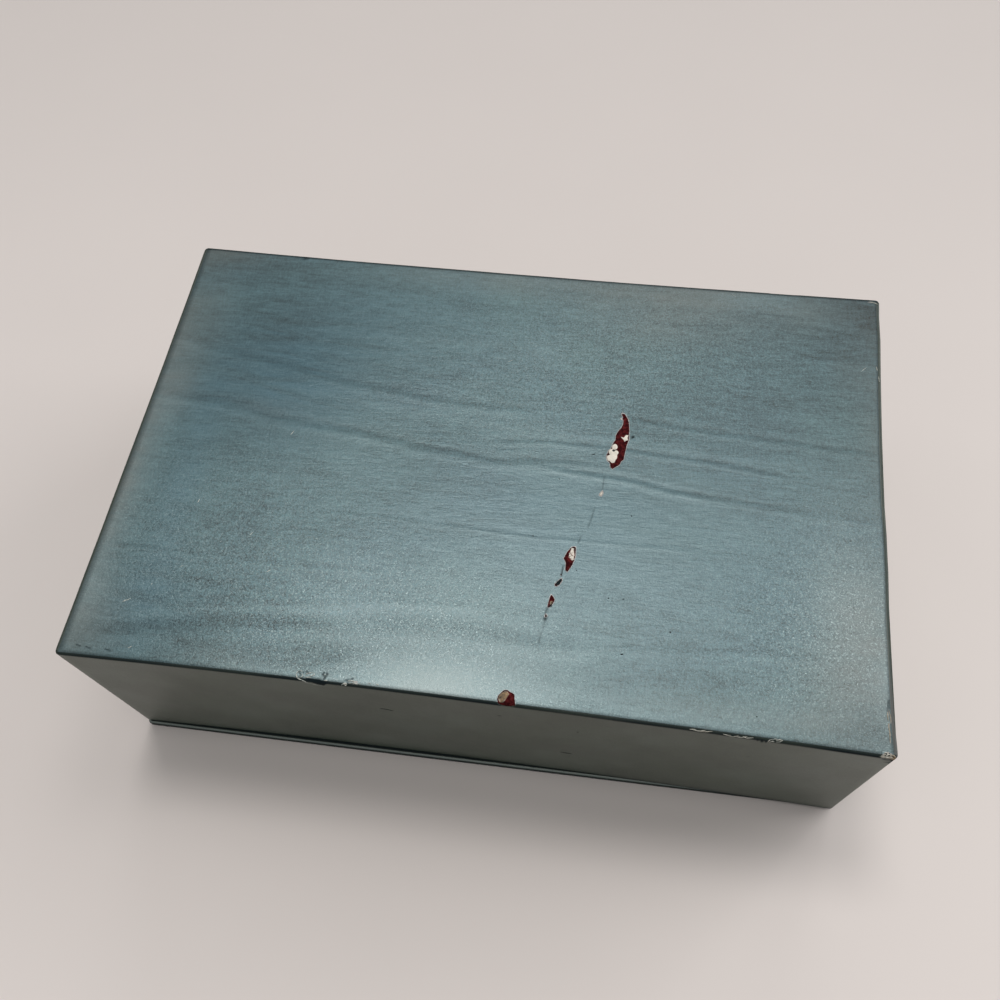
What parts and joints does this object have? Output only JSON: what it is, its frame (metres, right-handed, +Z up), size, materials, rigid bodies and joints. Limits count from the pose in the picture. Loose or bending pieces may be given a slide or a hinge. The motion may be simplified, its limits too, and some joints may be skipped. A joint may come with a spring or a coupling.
{
  "type": "collar box",
  "caption": "Low oblong collar box of covered strawboard, with a deep lid that lifts off an inner tray on a flush base.",
  "frame": {"origin": "on the table, under the middle of the box's footprint", "axes": "+X along the long side, to the right; +Y from the front to the back; +Z up"},
  "size_m": [0.3066, 0.2016, 0.095],
  "materials": {
    "painted_cover": "hand-brushed metallic blue-green paint over covering paper, worn",
    "strawboard": "matte tan strawboard",
    "stay_paper": "matte buff stay paper",
    "tray_cover_paper": "matte dark red covering paper",
    "lining_paper": "matte aged cream lining paper",
    "pastedown_paper": "matte plain buff paper, scuffed"
  },
  "bodies": {
    "base": {"base_board": "strawboard", "base_cover": "painted_cover", "base_pastedown": "pastedown_paper", "tray_back_board": "strawboard", "tray_cover": "tray_cover_paper", "tray_floor_lining": "lining_paper", "tray_front_board": "strawboard", "tray_left_board": "strawboard", "tray_right_board": "strawboard", "tray_stay_back_left": "stay_paper", "tray_stay_back_right": "stay_paper", "tray_stay_front_left": "stay_paper", "tray_stay_front_right": "stay_paper", "tray_wall_lining": "lining_paper"},
    "lid": {"lid_back_board": "strawboard", "lid_front_board": "strawboard", "lid_left_board": "strawboard", "lid_right_board": "strawboard", "lid_side_cover": "painted_cover", "lid_stay_back_left": "stay_paper", "lid_stay_back_right": "stay_paper", "lid_stay_front_left": "stay_paper", "lid_stay_front_right": "stay_paper", "lid_top_board": "strawboard", "lid_top_lining": "lining_paper", "lid_top_sheet": "painted_cover", "lid_wall_lining": "lining_paper"}
  },
  "joints": [
    {"name": "lid_lift", "type": "slide", "parent": "base", "child": "lid", "axis": [0, 0, 1], "range_m": [0, 0.125]}
  ]
}
